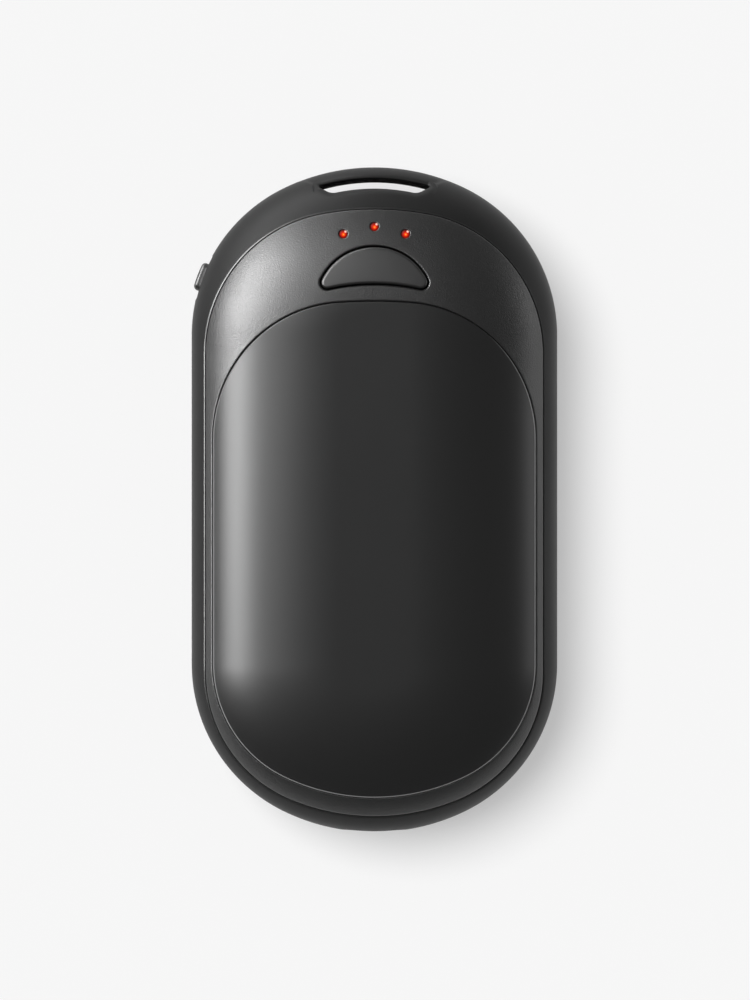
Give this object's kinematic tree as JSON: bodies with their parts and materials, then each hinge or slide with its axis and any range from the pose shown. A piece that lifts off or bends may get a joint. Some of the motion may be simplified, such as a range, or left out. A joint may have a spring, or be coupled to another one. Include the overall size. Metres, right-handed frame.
{
  "type": "rechargeable hand warmer",
  "caption": "Pebble-shaped pocket hand warmer with a heat plate on each face, a half moon power button, indicator lights, a side switch, a lanyard slot and a charging port.",
  "frame": {"origin": "middle of the rear face, which the warmer lies on: the bottom centre of the bounding box", "axes": "+Z out of the front face, through the thickness; +Y along the length towards the lanyard slot; +X to the right, seen from the front with the slot upward"},
  "size_m": [0.055, 0.0998, 0.025],
  "materials": {
    "frame_plastic": "smooth matte moulded plastic, charcoal",
    "cover_plastic": "finely grained moulded plastic, charcoal",
    "heat_plate": "satin anodised and lacquered aluminium, charcoal",
    "button_plastic": "finely grained moulded plastic, charcoal",
    "lens_red": "clear tinted acrylic, lit red",
    "heater_film": "amber polyimide film",
    "steel": "plain plated steel",
    "black_plastic": "black moulded plastic",
    "led_plastic": "clear epoxy",
    "component_ceramic": "plain fired ceramic",
    "board": "glass fibre board with green solder mask",
    "ferrite": "dark ferrite",
    "ribbon_plastic": "grey flat cable",
    "cell_sleeve": "blue shrink sleeve",
    "lead_red": "red insulated wire",
    "cradle_plastic": "grey moulded plastic",
    "foam": "soft closed-cell foam"
  },
  "bodies": {
    "housing": {"mid_frame": "frame_plastic", "front_cover": "cover_plastic", "front_heat_plate": "heat_plate", "front_heater_film": "heater_film", "rear_cover": "cover_plastic", "rear_heat_plate": "heat_plate", "rear_heater_film": "heater_film", "indicator_lenses": "lens_red", "slide_switch_body": "steel", "control_board": "board", "tact_switch_body": "black_plastic", "indicator_leds": "led_plastic", "control_chip": "black_plastic", "heater_transistors": "black_plastic", "control_capacitors": "component_ceramic", "charge_board": "board", "usb_socket_shell": "steel", "usb_socket_tongue": "black_plastic", "charge_chip": "black_plastic", "power_inductor": "ferrite", "charge_capacitors": "component_ceramic", "board_link_ribbon": "ribbon_plastic", "heater_tails": "heater_film", "battery_cell_left": "cell_sleeve", "battery_cell_right": "cell_sleeve", "nickel_strips": "steel", "battery_leads": "lead_red", "cell_cradle": "cradle_plastic", "cell_foam_pad": "foam", "temperature_sensors": "black_plastic", "cover_screws": "steel", "board_screws": "steel"},
    "button": {"power_button": "button_plastic"},
    "plunger": {"tact_switch_plunger": "black_plastic"},
    "side_switch": {"side_switch_knob": "button_plastic", "slide_switch_slider": "black_plastic"}
  },
  "joints": [
    {"name": "power_button_press", "type": "slide", "parent": "housing", "child": "button", "axis": [0, 0, -1], "range_m": [0, 0.0003], "stiffness_N_per_m": 2000},
    {"name": "tact_plunger_press", "type": "slide", "parent": "housing", "child": "plunger", "axis": [0, 0, -1], "range_m": [0, 0.0004]},
    {"name": "side_switch_slide", "type": "slide", "parent": "housing", "child": "side_switch", "axis": [0.3567, 0.9342, 0], "range_m": [-0.001, 0.001]}
  ],
  "couplings": [
    {"joint": "tact_plunger_press", "follows": "power_button_press", "ratio": 1}
  ]
}
